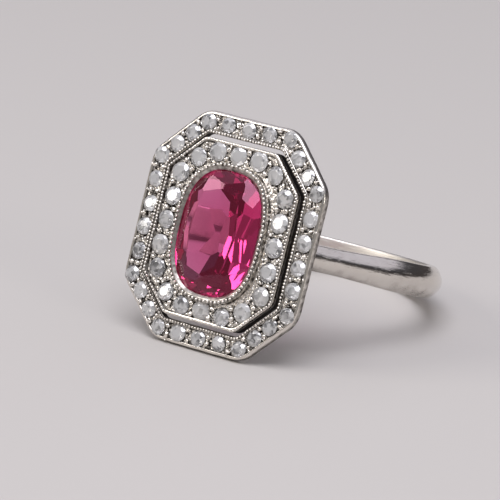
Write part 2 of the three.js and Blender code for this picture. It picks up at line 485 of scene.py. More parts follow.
def smooth_step(value, low, high):
    """0 below low, 1 above high, and 3 t t - 2 t t t between."""
    t = np.clip((value - low) / (high - low), 0.0, 1.0)
    return t * t * (3.0 - 2.0 * t)


def outer_radius(phi):
    """A circle at the back, a straight line at the shoulder, and a level top under the plaque."""
    away = np.abs(phi)
    line = HOOP_RADIUS / np.cos(np.clip(tangent_angle - away, 0.0, 1.4))
    top = SHOULDER_TOP / np.cos(np.clip(away, 0.0, 1.4))
    shoulder = np.where(away < tangent_angle, np.minimum(line, top), HOOP_RADIUS)
    under_plate = shoulder * np.sin(away) < SHOULDER_INNER_X
    return np.where((away < 1.4) & under_plate, HOOP_RADIUS, shoulder)


def shank_half_width(phi):
    """Half the width: shoulder width near the head, growing smoothly to the back width."""
    growth = smooth_step(np.degrees(np.abs(phi)), WIDER_FROM, WIDEST_FROM)
    return (SHOULDER_WIDTH + (BACK_WIDTH - SHOULDER_WIDTH) * growth) / 2.0


end_angle = math.asin(SHANK_END_X / FINGER_RADIUS)
end_degrees = math.degrees(end_angle)
stations = np.radians(np.linspace(end_degrees, 360.0 - end_degrees, SHANK_STATIONS))
phi = np.where(stations > math.pi, stations - 2.0 * math.pi, stations)
print("the shoulder is straight down to", round(math.degrees(tangent_angle), 1), "degrees from the head")

# %% [markdown]
# The profile is written with three shares: how far across, how far up the side wall, and how far up
# the crown. The crown is a parabola. Small rounds join wall and crown, as polishing leaves them.

# %% The shank's profile and mesh
def shank_profile():
    """Rows of (across, wall, crown): across runs -1 to 1, wall 0 to 1, crown 1 - across squared."""
    inner = np.linspace(-0.84, 0.84, 9)
    turn = np.linspace(0.0, math.pi / 2.0, 5)[1:-1]
    low_corner = np.stack([0.84 + 0.16 * np.sin(turn), 0.2 * (1 - np.cos(turn)), 0 * turn], 1)
    wall = np.linspace(0.2, 0.93, 6)
    crest = np.linspace(0.965, -0.965, 41)
    rows = [
        np.stack([inner, 0 * inner, 0 * inner], 1),
        low_corner,
        np.stack([0 * wall + 1.0, wall, 0 * wall], 1),
        np.array([[0.992, 0.985, 0.012]]),
        np.stack([crest, 0 * crest + 1.0, 1.0 - crest**2], 1),
        np.array([[-0.992, 0.985, 0.012]]),
        np.stack([0 * wall - 1.0, wall[::-1], 0 * wall], 1),
        low_corner[::-1] * np.array([-1.0, 1.0, 1.0]),
    ]
    return np.concatenate(rows)


def make_shank():
    """Each station turns the profile to its own angle and stretches it to its own radius and width."""
    profile = shank_profile()
    across, wall, crown = (profile[:, k][None, :] for k in range(3))
    wall_top = (outer_radius(phi) - CREST_RISE - FINGER_RADIUS)[:, None]
    radius = FINGER_RADIUS + wall * wall_top + CREST_RISE * crown
    y = across * shank_half_width(phi)[:, None]
    points = np.stack(
        [radius * np.sin(phi)[:, None], y, radius * np.cos(phi)[:, None]], -1
    ).reshape(-1, 3)
    rows, columns = len(phi), len(profile)
    sides = grid_faces(rows, columns, False, True)
    caps = np.stack([np.arange(columns)[::-1], (rows - 1) * columns + np.arange(columns)])
    step = np.linalg.norm(np.diff(profile[:, :2], axis=0, prepend=profile[:1, :2]), axis=1)
    arc = (stations * HOOP_RADIUS)[:, None] + 0 * across
    ring_round = np.cumsum(step)[None, :] + 0 * arc
    uv = np.stack([arc, ring_round], -1).reshape(-1, 2)
    inner_face = smooth_step(FINGER_RADIUS + 0.12 - radius, 0.0, 0.1).reshape(-1)
    foot = np.exp(-(((points[:, 2] - FRAME_BACK) / 0.25) ** 2)) * (np.abs(points[:, 0]) > 4.0)
    # Painted shade: the band's lower side, facing the floor, is darkened; its foot by the frame takes
    # grime and painted shade.
    lower_side_shade = smooth_step(-points[:, 1], 0.0, 0.9)
    return new_piece(
        "shank", points, [sides, caps], shank_metal, "white_metal", 40.0, uv,
        recess=np.maximum(0.55 * foot, 0.24 * lower_side_shade), worn=inner_face,
    )


shank = make_shank()
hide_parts("mounting")

# %% [markdown]
# The frame and the plate are octagons with worn corners. A path round an octagon is eight straight
# runs joined by short curves: a quadratic curve from one side to the next, with the sharp corner as
# its handle. Moving the path inwards keeps the sides parallel, so a cross-section drawn as (inset,
# height) can follow it all round.

# %% The octagon as a path
def octagon_corners(inset):
    """The eight corners, counter-clockwise, for an array of insets: shape (insets, 8, 2)."""
    half_x, half_y = PLAQUE_WIDTH / 2 - inset, PLAQUE_LENGTH / 2 - inset
    leg = CORNER_LEG - inset * (2 - math.sqrt(2))
    quarter = np.stack(
        [
            np.stack([half_x, half_y - leg], -1),
            np.stack([half_x - leg, half_y], -1),
            np.stack([-half_x + leg, half_y], -1),
            np.stack([-half_x, half_y - leg], -1),
        ],
        1,
    )
    return np.concatenate([quarter, -quarter], 1)


def octagon_path(inset, rounding, spacing):
    """Points round the octagon, shape (insets, columns, 2): one every `spacing` mm on its sides."""
    corners = octagon_corners(inset)
    after = np.roll(corners, -1, axis=1)
    run = after - corners
    length = np.linalg.norm(run, axis=-1, keepdims=True)
    unit = run / length
    before_unit = np.roll(unit, 1, axis=1)
    cut = rounding[:, None, None]
    start, leave = corners - before_unit * cut, corners + unit * cut
    curve = np.linspace(0.0, 1.0, 7)[None, :-1, None]
    parts = []
    for side in range(8):
        a, b, c = start[:, None, side], corners[:, None, side], leave[:, None, side]
        bend = (1 - curve) ** 2 * a + 2 * curve * (1 - curve) * b + curve**2 * c
        steps = max(2, int(round(float(length[0, side, 0]) / spacing)))
        share = np.linspace(0.0, 1.0, steps + 1)[None, :-1, None]
        end = start[:, None, (side + 1) % 8]
        parts += [bend, c + (end - c) * share]
    return np.concatenate(parts, 1)


def round_corners(profile, radii, steps=5):
    """A closed profile whose corners become quadratic curves, `radii` long to either side."""
    profile, radii = np.asarray(profile, float), np.asarray(radii, float)[:, None]
    to_last = np.roll(profile, 1, axis=0) - profile
    to_next = np.roll(profile, -1, axis=0) - profile
    a = profile + to_last / np.linalg.norm(to_last, axis=1, keepdims=True) * radii
    b = profile + to_next / np.linalg.norm(to_next, axis=1, keepdims=True) * radii
    s = np.linspace(0.0, 1.0, steps)[None, :, None]
    curve = (1 - s) ** 2 * a[:, None] + 2 * s * (1 - s) * profile[:, None] + s**2 * b[:, None]
    return curve.reshape(-1, 2)


def fill_in(profile, longest):
    """Extra points on a closed profile, so that no step is longer than its `longest`."""
    nxt = np.roll(profile, -1, axis=0)
    length = np.linalg.norm(nxt - profile, axis=1)
    count = np.maximum(1, np.ceil(length / longest)).astype(int)
    owner = np.repeat(np.arange(len(profile)), count)
    place = np.arange(len(owner)) - np.repeat(np.cumsum(count) - count, count)
    share = (place / count[owner])[:, None]
    return profile[owner] * (1 - share) + nxt[owner] * share


sample = octagon_path(np.array([0.0]), np.array([0.4]), 0.1)
print("the outer path has", sample.shape[1], "points a lap")

# %% [markdown]
# Where the stones sit decides the shape of the metal between them, so their places come first. The
# frame has one stone in each corner and four, three or two between, on the long, short and slanting
# sides. The plate has twenty, evenly spaced along a path halfway between its rim and the collet.

# %% Places of the stones
FRAME_STONES_BETWEEN = [2, 3, 2, 4, 2, 3, 2, 4]
FRAME_STONE_RADIUS, PLATE_STONE_RADIUS = 0.59, 0.67
FRAME_GRAIN_OFFSET, PLATE_GRAIN_OFFSET = 0.31, 0.36
FRAME_NIB_OFFSET, PLATE_NIB_OFFSET = 0.53, 0.60
PLATE_STONES, PLATE_STONE_INSET = 20, 2.70
draw = np.random.default_rng(1912)


def frame_stone_places():
    """One place on each corner, and even steps along the straight run to the next corner."""
    corners = octagon_corners(np.array([FRAME_BAND / 2]))[0]
    after = np.roll(corners, -1, axis=0)
    runs = [
        corners[k] + (after[k] - corners[k]) * (np.arange(n + 1) / (n + 1))[:, None]
        for k, n in enumerate(FRAME_STONES_BETWEEN)
    ]
    return np.concatenate(runs)


def plate_stone_places():
    """Even steps by travelled length along the octagon halfway between the rim and the collet."""
    lap = octagon_path(np.array([PLATE_STONE_INSET]), np.array([0.9]), 0.02)[0]
    lap = lap * np.array([1.0, 1.015])
    first = np.argmin(np.abs(lap[:, 1]) + 100.0 * (lap[:, 0] < 0))
    return walk(lap, first, PLATE_STONES)


def gap_places(places, offset):
    """Two places in each gap: the middle between neighbours, plus and minus `offset` sideways."""
    nxt = np.roll(places, -1, axis=0)
    middle, run = (places + nxt) / 2, nxt - places
    unit = run / np.linalg.norm(run, axis=1, keepdims=True)
    side = np.stack([unit[:, 1], -unit[:, 0]], 1)
    return np.concatenate([middle + side * offset, middle - side * offset])


frame_places = frame_stone_places()
plate_places = plate_stone_places()
frame_places = frame_places + draw.normal(0.0, 0.035, frame_places.shape)
plate_places = plate_places + draw.normal(0.0, 0.035, plate_places.shape)
frame_sizes = FRAME_STONE_RADIUS * draw.uniform(0.93, 1.03, len(frame_places))
plate_sizes = PLATE_STONE_RADIUS * draw.uniform(0.93, 1.03, len(plate_places))
frame_grains = gap_places(frame_places, FRAME_GRAIN_OFFSET)
frame_grains = frame_grains + draw.normal(0.0, 0.045, frame_grains.shape)
plate_grains = gap_places(plate_places, PLATE_GRAIN_OFFSET)
plate_grains = plate_grains + draw.normal(0.0, 0.05, plate_grains.shape)
print(len(frame_places), "stones in the frame,", len(plate_places), "in the plate")
print(len(frame_grains) + len(plate_grains), "raised grains")


def graver_strokes(places, per_gap, spread):
    """Short straight cuts in every gap, as (start, end) points with seeded places and turns."""
    middle = np.repeat((places + np.roll(places, -1, axis=0)) / 2, per_gap, axis=0)
    middle = middle + draw.normal(0.0, spread, middle.shape)
    turn, half = draw.uniform(0.0, math.pi, len(middle)), draw.uniform(0.07, 0.20, len(middle))
    reach = np.stack([np.cos(turn), np.sin(turn)], 1) * half[:, None]
    return np.stack([middle - reach, middle + reach], 1)


frame_strokes = graver_strokes(frame_places, 4, 0.26)
plate_strokes = graver_strokes(plate_places, 9, 0.42)

# %% [markdown]
# Under each stone the setter drills a cone-shaped seat, and round each grain the graver cuts a
# little moat. Both are depths that depend only on the distance to the nearest stone or grain, so
# one function works out the metal's level everywhere. It also says how hidden each point is, which
# is where grime and painted shade go.

# %% Seats and cuts
FRAME_SEAT_DEPTH, PLATE_SEAT_DEPTH = 0.50, 0.36


def nearest(xy, places, sizes):
    """For each point: its distance to the nearest place, as a share of that place's size."""
    share = np.full(len(xy), 1e9)
    for place, size in zip(places, sizes):
        share = np.minimum(share, np.hypot(xy[:, 0] - place[0], xy[:, 1] - place[1]) / size)
    return share


def stroke_distance(xy, strokes):
    """For each point: how far it is from the nearest stroke, a stroke being a straight segment."""
    best = np.full(len(xy), 1e9)
    for start, end in strokes:
        run, away = end - start, xy - start
        share = np.clip(away @ run / (run @ run), 0.0, 1.0)
        best = np.minimum(best, np.linalg.norm(away - share[:, None] * run, axis=1))
    return best


def patches(xy):
    """A patchy value from 0 to 1: two bent sine waves multiplied, half a millimetre across."""
    x, y = xy[:, 0], xy[:, 1]
    bent = np.sin(9.0 * x + 2.0 * np.sin(5.3 * y)) * np.sin(8.3 * y + 2.2 * np.sin(6.1 * x))
    return 0.5 + 0.5 * bent


def cut_depth(xy, places, sizes, grains, strokes, seat_depth):
    """How deep each point is cut, and how hidden it is: cones, moats, rings and strokes."""
    seat = nearest(xy, places, sizes)
    grain = nearest(xy, grains, np.ones(len(grains)))
    patch = patches(xy)
    cone = seat_depth * np.clip(1.03 - seat, 0.0, 1.0)
    moat = np.exp(-(((grain - 0.21) / 0.05) ** 2)) * (seat > 0.98) * (0.25 + 0.75 * patch)
    ring = np.exp(-(((seat - 1.05) / 0.07) ** 2)) * (0.30 + 0.55 * (1 - patch))
    stroke = np.exp(-((stroke_distance(xy, strokes) / 0.045) ** 2)) * (seat > 1.0)
    # Dark moats, rings round the seats and strokes: grime and painted shade.
    hidden = np.clip(0.85 * moat + ring + 0.95 * stroke, 0.0, 1.0)
    return cone + 0.08 * moat + 0.05 * ring + 0.07 * stroke, hidden * (seat > 0.97)


def level_field(points, mask, places, sizes, grains, strokes, seat_depth):
    """Lowers the points of the field by the cuts, and returns how hidden each point is, as grime and
    painted shade.
    """
    recess = np.zeros(len(points))
    depth, hidden = cut_depth(points[mask, :2], places, sizes, grains, strokes, seat_depth)
    points[mask, 2] -= depth
    recess[mask] = hidden
    print("deepest cut in mm:", round(float(depth.max()), 3))
    return recess


# %% [markdown]
# The outer frame is a channel between two raised rims: a cross-section of eight corners, rounded,
# filled with extra points and carried round the octagon. The outer rim is worn smooth and rounder
# than the inner one.

# %% The outer frame
def frame_top(inset):
    """The frame rises a little towards the slot: the height grows with the inset."""
    return RIM_TOP + FRAME_SLOPE * inset


def octagon_shell(profile, rounding, spacing):
    """A closed cross-section of (inset, height) rows carried round the octagon: points and faces."""
    path = octagon_path(profile[:, 0], rounding, spacing)
    rows, columns = path.shape[:2]
    uv = grid_uv(run_length(path[0]), run_length(profile))
    return lift(path, profile[:, 1]), grid_faces(rows, columns, True, True), uv


def make_outer_frame():
    """The channel profile round the octagon, worn at its rim and cut in its field."""
    inner_rim = FRAME_BAND - RIM_WIDTH
    floor_a, floor_b = RIM_WIDTH + 0.05, inner_rim - 0.05
    corners = [
        (0.0, FRAME_BACK), (0.0, frame_top(0.0)),
        (RIM_WIDTH, frame_top(RIM_WIDTH)), (floor_a, frame_top(RIM_WIDTH) - CHANNEL_DEPTH),
        (floor_b, frame_top(inner_rim) - CHANNEL_DEPTH), (inner_rim, frame_top(inner_rim) - 0.02),
        (FRAME_BAND, frame_top(FRAME_BAND) - 0.05), (FRAME_BAND, FRAME_BACK),
    ]
    radii = [0.08, 0.19, 0.06, 0.02, 0.02, 0.04, 0.06, 0.06]
    rounded = round_corners(corners, radii)
    profile = fill_in(rounded, np.where(rounded[:, 1] > FRAME_BACK + 0.3, 0.045, 0.14))
    rounding = 0.28 + 0.55 * np.clip(1 - profile[:, 0] / 0.6, 0, 1)
    points, faces, uv = octagon_shell(profile, rounding, 0.0505)
    inset = np.repeat(profile[:, 0], len(points) // len(profile))
    around = np.arctan2(points[:, 1], points[:, 0])
    wear = 0.5 * np.sin(7 * around + 0.4) + 0.3 * np.sin(17 * around) + 0.3 * np.sin(31 * around + 2.0)
    points[:, :2] *= 1 + (0.0022 * wear * np.clip(1 - inset / 0.4, 0, 1))[:, None]
    points[:, 2] += 0.012 * np.roll(wear, 9) * (inset < 0.3) * (points[:, 2] > FRAME_BACK + 0.3)
    high = points[:, 2] > FRAME_BACK + 0.2
    field = high & (inset > floor_a + 0.005) & (inset < floor_b - 0.005)
    in_cuts = level_field(
        points, field, frame_places, frame_sizes, frame_grains, frame_strokes, FRAME_SEAT_DEPTH
    )
    foot = np.minimum(np.abs(inset - floor_a), np.abs(inset - floor_b))
    patch = patches(points[:, :2] + 3.0)
    outer_wall = (inset < 0.02) & (points[:, 2] < RIM_TOP - 0.09)
    depth = np.clip((RIM_TOP - 0.09 - points[:, 2]) / 0.30, 0.0, 1.0)
    drop = np.clip((frame_top(FRAME_BAND) - 0.05 - points[:, 2]) / 0.25, 0.0, 1.0)
    milled = high & (inset > inner_rim + 0.02) & (inset < FRAME_BAND - 0.02)
    # Grime and painted shade: the cuts, the feet of the rims and the gaps between millgrain beads take
    # both; the outer wall and the slot's wall are painted darker towards their bottom as shade, and the
    # underside is a little darker.
    recess = np.max([
        in_cuts,
        high * (0.35 + 0.6 * patch) * np.exp(-((foot / 0.05) ** 2)),  # foot of both rims
        0.10 * (~high & (inset > 0.05)),  # underside
        (0.28 + 0.30 * depth) * outer_wall,
        (0.5 + 0.5 * drop) * (inset > FRAME_BAND - 0.01),  # wall of the slot
        0.68 * milled,  # between the millgrain beads
    ], axis=0)
    return new_piece(
        "outer_frame", points, [faces], setting_metal, "white_metal", 40.0, uv, recess=recess,
        graved=0.08 + 0.92 * field,
    )


outer_frame = make_outer_frame()
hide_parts("mounting")

# %% [markdown]
# The collet is the short tube that grips the ruby. Its outline is a cushion: a superellipse, whose
# corners are fuller than an ellipse's, stretched along the finger. The plate runs from its own
# octagonal rim in to that outline, so its field is drawn between two curves: each point is a share
# of the way from one to the other.

# %% The cushion outline and the inner plate
def cushion_point(angle, radius):
    """Superellipse of power 2.6, with the stretch added to the radius along the finger."""
    c, s = np.cos(angle), np.sin(angle)
    scale = (np.abs(c) ** CUSHION_POWER + np.abs(s) ** CUSHION_POWER) ** (-1 / CUSHION_POWER)
    return np.stack([radius * scale * c, (radius + STONE_STRETCH) * scale * s], -1)


FIELD_ROWS = 44


def make_inner_plate():
    """Rail, wall and rim round the octagon, then a field that runs in to the cushion outline."""
    floor_z = PLATE_TOP - CHANNEL_DEPTH
    inner_radius = COLLET_RADIUS - 0.16
    rail = [
        (RAIL, PLATE_BACK), (RAIL, FRAME_BACK + 0.03), (RAIL - 0.03, FRAME_BACK),
        (0.03, FRAME_BACK), (0.0, FRAME_BACK + 0.03),
    ]
    wall = [(0.0, z) for z in np.linspace(FRAME_BACK + 0.1, PLATE_TOP - 0.10, 9)]
    rim = [
        (0.012, PLATE_TOP - 0.055), (0.045, PLATE_TOP - 0.018), (0.085, PLATE_TOP - 0.006),
        (RIM_WIDTH - 0.05, PLATE_TOP), (RIM_WIDTH - 0.01, PLATE_TOP - 0.015),
        (RIM_WIDTH + 0.02, PLATE_TOP - 0.07), (RIM_WIDTH + 0.042, floor_z + 0.012),
        (RIM_WIDTH + 0.05, floor_z),
    ]
    edge_rows = np.array(rail + wall + rim) + np.array([PLATE_INSET, 0.0])
    outer = octagon_path(edge_rows[:, 0], np.full(len(edge_rows), 0.34), 0.052)
    edge = outer[-1]
    angle = np.arctan2(edge[:, 1] / (inner_radius + STONE_STRETCH), edge[:, 0] / inner_radius)
    inner = cushion_point(angle, inner_radius)
    share = np.linspace(0.0, 1.0, FIELD_ROWS + 1)[1:, None, None]
    field = edge[None] * (1 - share) + inner[None] * share
    outward = np.array([0.2, 0.4, 0.6, 0.8])[:, None, None]
    back = outer[0][None] * outward + inner[None] * (1 - outward)
    xy = np.concatenate([outer, field, inner[None], back])
    below = np.full(1 + len(back), PLATE_BACK)
    z = np.concatenate([edge_rows[:, 1], np.full(FIELD_ROWS, floor_z), below])
    rows, columns = xy.shape[:2]
    points = lift(xy, z)
    row = np.repeat(np.arange(rows), columns)
    first, last = len(edge_rows), len(edge_rows) + FIELD_ROWS - 1
    in_field = (row >= first) & (row < last)
    in_cuts = level_field(
        points, in_field, plate_places, plate_sizes, plate_grains, plate_strokes, PLATE_SEAT_DEPTH
    )
    shares = (row - first + 1) / FIELD_ROWS
    foot = np.minimum(shares, 0.90 - shares) * 1.4
    patch = patches(points[:, :2] + 3.0)
    rim_foot = (row >= first - 3) & (row < first)
    drop = np.clip((PLATE_TOP - 0.26 - points[:, 2]) / 0.34, 0.0, 1.0)
    on_wall = (row < first - 8) & (row >= 3)
    milled = (row >= first - 6) & (row < first - 3)
    unrubbed = 1.0 - smooth_step(np.abs(points[:, 1]), 4.6, 5.7)
    # Grime and painted shade: the cuts, the feet of rim and collet and the gaps between millgrain beads
    # take both; the slot's wall is painted darker towards its bottom and the rail under the plate dark,
    # as shade, and the underside is a little darker.
    recess = np.max([
        in_cuts,
        in_field * (0.3 + 0.6 * patch) * np.exp(-((foot / 0.06) ** 2)),  # foot of rim and collet
        (0.4 + 0.5 * patch) * rim_foot + on_wall * (0.20 + 0.8 * drop),
        0.68 * milled * unrubbed,  # between the millgrain beads
        0.45 * (row < 3) + 0.12 * (row > last),  # rail and underside
    ], axis=0)
    uv = grid_uv(run_length(edge), 0.05 * np.arange(rows))
    return new_piece(
        "inner_plate", points, [grid_faces(rows, columns, True, True)], setting_metal,
        "white_metal", 40.0, uv, recess=recess, graved=0.08 + 0.92 * in_field,
    )


inner_plate = make_inner_plate()
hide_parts("mounting")

# %% [markdown]
# The collet's own cross-section has a straight flared wall outside, a rubbed-over lip at the top
# that slopes down to the ruby, a bearing for its girdle, and an open bottom. It is carried round
# the cushion outline.

# %% The collet
def make_collet():
    """The tube profile, whose inset is a cushion radius, carried round the cushion outline."""
    corners = [
        (2.79, COLLET_BOTTOM), (3.62, PLATE_BACK), (COLLET_RADIUS, COLLET_TOP - 0.12),
        (COLLET_RADIUS - 0.05, COLLET_TOP - 0.03), (3.47, COLLET_TOP), (3.36, COLLET_TOP - 0.01),
        (3.17, 11.035), (3.19, 10.97), (3.31, 10.94), (3.31, 10.73),
        (3.08, 10.585), (3.06, 10.35), (2.45, COLLET_BOTTOM),
    ]
    radii = [0.05, 0.05, 0.03, 0.03, 0.03, 0.03, 0.025, 0.01, 0.01, 0.01, 0.03, 0.03, 0.05]
    profile = fill_in(round_corners(corners, radii, 4), 0.16)
    angle = np.linspace(0.0, 2 * math.pi, 360, endpoint=False)
    xy = cushion_point(angle[None, :], profile[:, :1])
    rows, columns = xy.shape[:2]
    points = lift(xy, profile[:, 1])
    radius = np.repeat(profile[:, 0], columns)
    height = points[:, 2]
    # Grime and painted shade at the collet's foot and between its beads; the inside under the ruby and
    # the lip's inner slope are painted darker as shade.
    foot = np.exp(-(((height - (PLATE_TOP - CHANNEL_DEPTH)) / 0.10) ** 2)) * (radius > 3.5)
    inside = (radius < 3.33) & (height < 11.0)
    milled = (radius > 3.40) & (height > COLLET_TOP - 0.10)
    lip = (radius < 3.40) & (height > 11.0)
    recess = np.max([0.5 * foot, 0.25 * inside, 0.6 * milled, 0.45 * lip], axis=0)
    return new_piece(
        "collet", points, [grid_faces(rows, columns, True, True)], setting_metal,
        "white_metal", 35.0, grid_uv(3.9 * angle, 0.06 * np.arange(rows)),
        recess=recess, graved=np.full(len(points), 0.10),
    )


collet = make_collet()
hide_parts("mounting")

# %% [markdown]
# Two short bars, one over each shoulder, join the frame to the plate across the slot. They are
# rounded boxes: a superellipsoid of a high power is a box with soft edges, and it is one smooth
# grid with closed poles.

# %% The bridges
def ball_grid(rows, columns):
    """Unit sphere directions, with one point at each pole: rows between the poles, columns round."""
    polar = np.linspace(0.0, math.pi, rows + 2)[1:-1, None]
    turn = np.linspace(0.0, 2 * math.pi, columns, endpoint=False)[None, :]
    body = np.stack(
        [np.sin(polar) * np.cos(turn), np.sin(polar) * np.sin(turn), np.cos(polar) + 0 * turn], -1
    ).reshape(-1, 3)
    points = np.concatenate([body, [[0, 0, 1.0]], [[0, 0, -1.0]]])
    quads = grid_faces(rows, columns, False, True)
    c = np.arange(columns)
    nxt = (c + 1) % columns
    top, bottom, last = rows * columns, rows * columns + 1, (rows - 1) * columns
    tips = np.concatenate(
        [np.stack([0 * c + top, nxt, c], 1), np.stack([0 * c + bottom, last + c, last + nxt], 1)]
    )
    return points, quads, tips


def repeat_shape(points, face_sets, count):
    """Face arrays for `count` copies of a shape whose points are stacked one copy after another."""
    shift = (np.arange(count) * len(points))[:, None, None]
    return [(f[None] + shift).reshape(-1, f.shape[1]) for f in face_sets]


BRIDGE_POWER, BRIDGE_X, BRIDGE_Z = 9.0, 5.295, 9.65
BRIDGE_HALF = np.array([0.595, 0.8, 0.5])


def make_bridges():
    """Sphere directions divided by their power sum give a box with soft edges, used twice."""
    unit, *parts = ball_grid(24, 48)
    size = (np.abs(unit) ** BRIDGE_POWER).sum(1, keepdims=True) ** (-1 / BRIDGE_POWER)
    block = unit * size
    centres = np.array([[side * BRIDGE_X, 0.0, BRIDGE_Z] for side in (1, -1)])
    points = (centres[:, None] + block[None] * BRIDGE_HALF).reshape(-1, 3)
    return new_piece(
        "bridges", points, repeat_shape(unit, parts, 2), shank_metal, "white_metal",
        50.0, points[:, :2], recess=np.full(len(points), 0.25), worn=np.zeros(len(points)),
    )


bridges = make_bridges()
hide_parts("mounting")

# %% [markdown]
# The slot's walls, the millgrain and the grains are what make the ring look old. Millgrain is a row
# of tiny beads rolled along an edge with a knurled wheel. Each bead is a ball of 32 faces, and a
# whole row is one array: bead directions times bead sizes, plus bead places. Where the row is
# rubbed away, the bead sinks in.

# %% Rows of beads
MILLGRAIN_PITCH, MILLGRAIN_RADIUS, MILLGRAIN_INSET = 0.235, 0.108, 0.11
COLLET_PITCH, COLLET_BEAD_RADIUS, COLLET_ROW_RADIUS = 0.31, 0.125, 3.52
BEAD_LIFT = 0.005


def evenly_spaced(lap, pitch):
    """Points every `pitch` mm, as nearly as a whole number allows, along a closed run of points."""
    whole = run_length(np.concatenate([lap, lap[:1]]))[-1]
    return walk(lap, 0, int(round(whole / pitch)))


def place_shapes(name, shapes, parts, recess):
    """One piece from many copies of a ball: `shapes` is (copies, points, 3), and the last argument is
    one ball's grime and painted shade.
    """
    faces = repeat_shape(shapes[0], parts, len(shapes))
    return new_piece(
        name, shapes.reshape(-1, 3), faces, bead_metal, "white_metal", 80.0,
        recess=np.tile(np.clip(recess, 0.0, 1.0), len(shapes)),
    )


def make_bead_row(name, places, height, radius):
    """One bead at each place, its centre at `height`, a number or one for each bead."""
    unit, *parts = ball_grid(3, 8)
    size = (radius * draw.uniform(0.88, 1.08, len(places)))[:, None, None]
    jitter = draw.normal(0.0, 0.012, places.shape)
    centre = np.column_stack([places + jitter, np.broadcast_to(height, len(places))])
    # Painted shade: clean on top, darker down the sides and black at the foot, with grime there too.
    return place_shapes(name, centre[:, None] + unit * size, parts, 0.60 - 1.6 * unit[:, 2])


def octagon_row(inset):
    """Places of the beads along the octagon at one inset."""
    return evenly_spaced(octagon_path(np.array([inset]), np.array([0.12]), 0.05)[0], MILLGRAIN_PITCH)


frame_edge = octagon_row(FRAME_BAND - MILLGRAIN_INSET)
edge_height = frame_top(FRAME_BAND - MILLGRAIN_INSET)
make_bead_row("frame_millgrain", frame_edge, edge_height + BEAD_LIFT, MILLGRAIN_RADIUS)
plate_edge = octagon_row(PLATE_INSET + MILLGRAIN_INSET)
rubbed = 0.075 * smooth_step(np.abs(plate_edge[:, 1]), 4.3, 5.6)
make_bead_row("plate_millgrain", plate_edge, PLATE_TOP + BEAD_LIFT - rubbed, MILLGRAIN_RADIUS)
full_turn = np.linspace(0, 2 * math.pi, 720, endpoint=False)
lip = evenly_spaced(cushion_point(full_turn, COLLET_ROW_RADIUS), COLLET_PITCH)
lip_rubbed = 0.085 * smooth_step(np.abs(lip[:, 1]), 3.0, 4.6)
make_bead_row("collet_millgrain", lip, COLLET_TOP + BEAD_LIFT - lip_rubbed, COLLET_BEAD_RADIUS)

# %% [markdown]
# The grains are larger beads, pushed up from the metal with a punch until they lean over the edges
# of two neighbouring stones. They sit in pairs in every gap, and no two are quite the same size.
# Smaller nibs stand in the same gaps, further from the line of stones.

# %% Raised grains
def make_grains(name, places, level, radius):
    """Balls made longer one way, turned, lumped by a seeded noise and set at their places."""
    size = radius * draw.uniform(0.78, 1.18, len(places))
    unit, *parts = ball_grid(6, 14)
    centre = np.column_stack([places, np.full(len(places), level)])
    turn = draw.uniform(0.0, math.pi, len(places))[:, None]
    longer = draw.uniform(1.0, 1.35, len(places))[:, None]
    c, s = np.cos(turn), np.sin(turn)
    along = (unit[:, 0] * c + unit[:, 1] * s) * longer
    beside = (unit[:, 1] * c - unit[:, 0] * s) / longer
    height = 1.05 * unit[:, 2] + 0 * c
    shape = np.stack([along * c - beside * s, along * s + beside * c, height], -1)
    lumps = 1.0 + 0.09 * draw.standard_normal((len(places), len(unit), 1))
    points = centre[:, None] + shape * size[:, None, None] * lumps
    # Painted shade: clean on top, darker down the sides and black at the foot, with grime there too.
    return place_shapes(name, points, parts, 0.22 - 1.3 * unit[:, 2])


frame_level = frame_top(FRAME_BAND / 2) - CHANNEL_DEPTH
plate_level = PLATE_TOP - CHANNEL_DEPTH
make_grains("frame_grains", frame_grains, frame_level + 0.07, 0.165)
make_grains("plate_grains", plate_grains, plate_level + 0.08, 0.175)
for name, stones, offset, scatter, level, radius in [
    ("frame_nibs", frame_places, FRAME_NIB_OFFSET, 0.07, frame_level + 0.05, 0.085),
    ("plate_nibs", plate_places, PLATE_NIB_OFFSET, 0.10, plate_level + 0.04, 0.095),
]:
    nibs = gap_places(stones, offset)
    make_grains(name, nibs + draw.normal(0.0, scatter, nibs.shape), level, radius)

# %% [markdown]
# A cut stone is exactly what is left when flat laps have ground away everything outside their
# planes. So a stone is worked out from its facets: every three planes meet in a point, and the
# points that lie inside all the other planes are the stone's corners. The facets are then perfectly
# flat, which is what makes them flash.

# %% A stone from its facet planes
def stone_from_planes(planes):
    """Corners and facets of the space where normal . p <= distance for every plane."""
    normals, distances = (np.array(part) for part in zip(*planes))
    trio = np.array(list(itertools.combinations(range(len(normals)), 3)))
    system = normals[trio]
    solvable = np.abs(np.linalg.det(system)) > 1e-5
    trio, system = trio[solvable], system[solvable]
    meets = np.linalg.solve(system, distances[trio][..., None])[..., 0]
    inside = (meets @ normals.T <= distances + 1e-6).all(1)
    corners = np.unique(np.round(meets[inside], 4), axis=0)
    facets = []
    for normal, distance in zip(normals, distances):
        on = np.nonzero(np.abs(corners @ normal - distance) < 3e-4)[0]
        if len(on) < 3:
            continue
        side = np.cross(normal, [0.31, 0.73, 0.61])
        side /= np.linalg.norm(side)
        spoke = corners[on] - corners[on].mean(0)
        order = np.argsort(np.arctan2(spoke @ np.cross(normal, side), spoke @ side))
        facets.append(on[order])
    return corners, facets


def by_size(facets):
    """The facets as arrays, one for each number of corners."""
    groups = {}
    for facet in facets:
        groups.setdefault(len(facet), []).append(facet)
    return [np.array(group) for group in groups.values()]


def direction_at(angle):
    """The level direction at an angle: (cosine, sine)."""
    return np.array([math.cos(angle), math.sin(angle)])


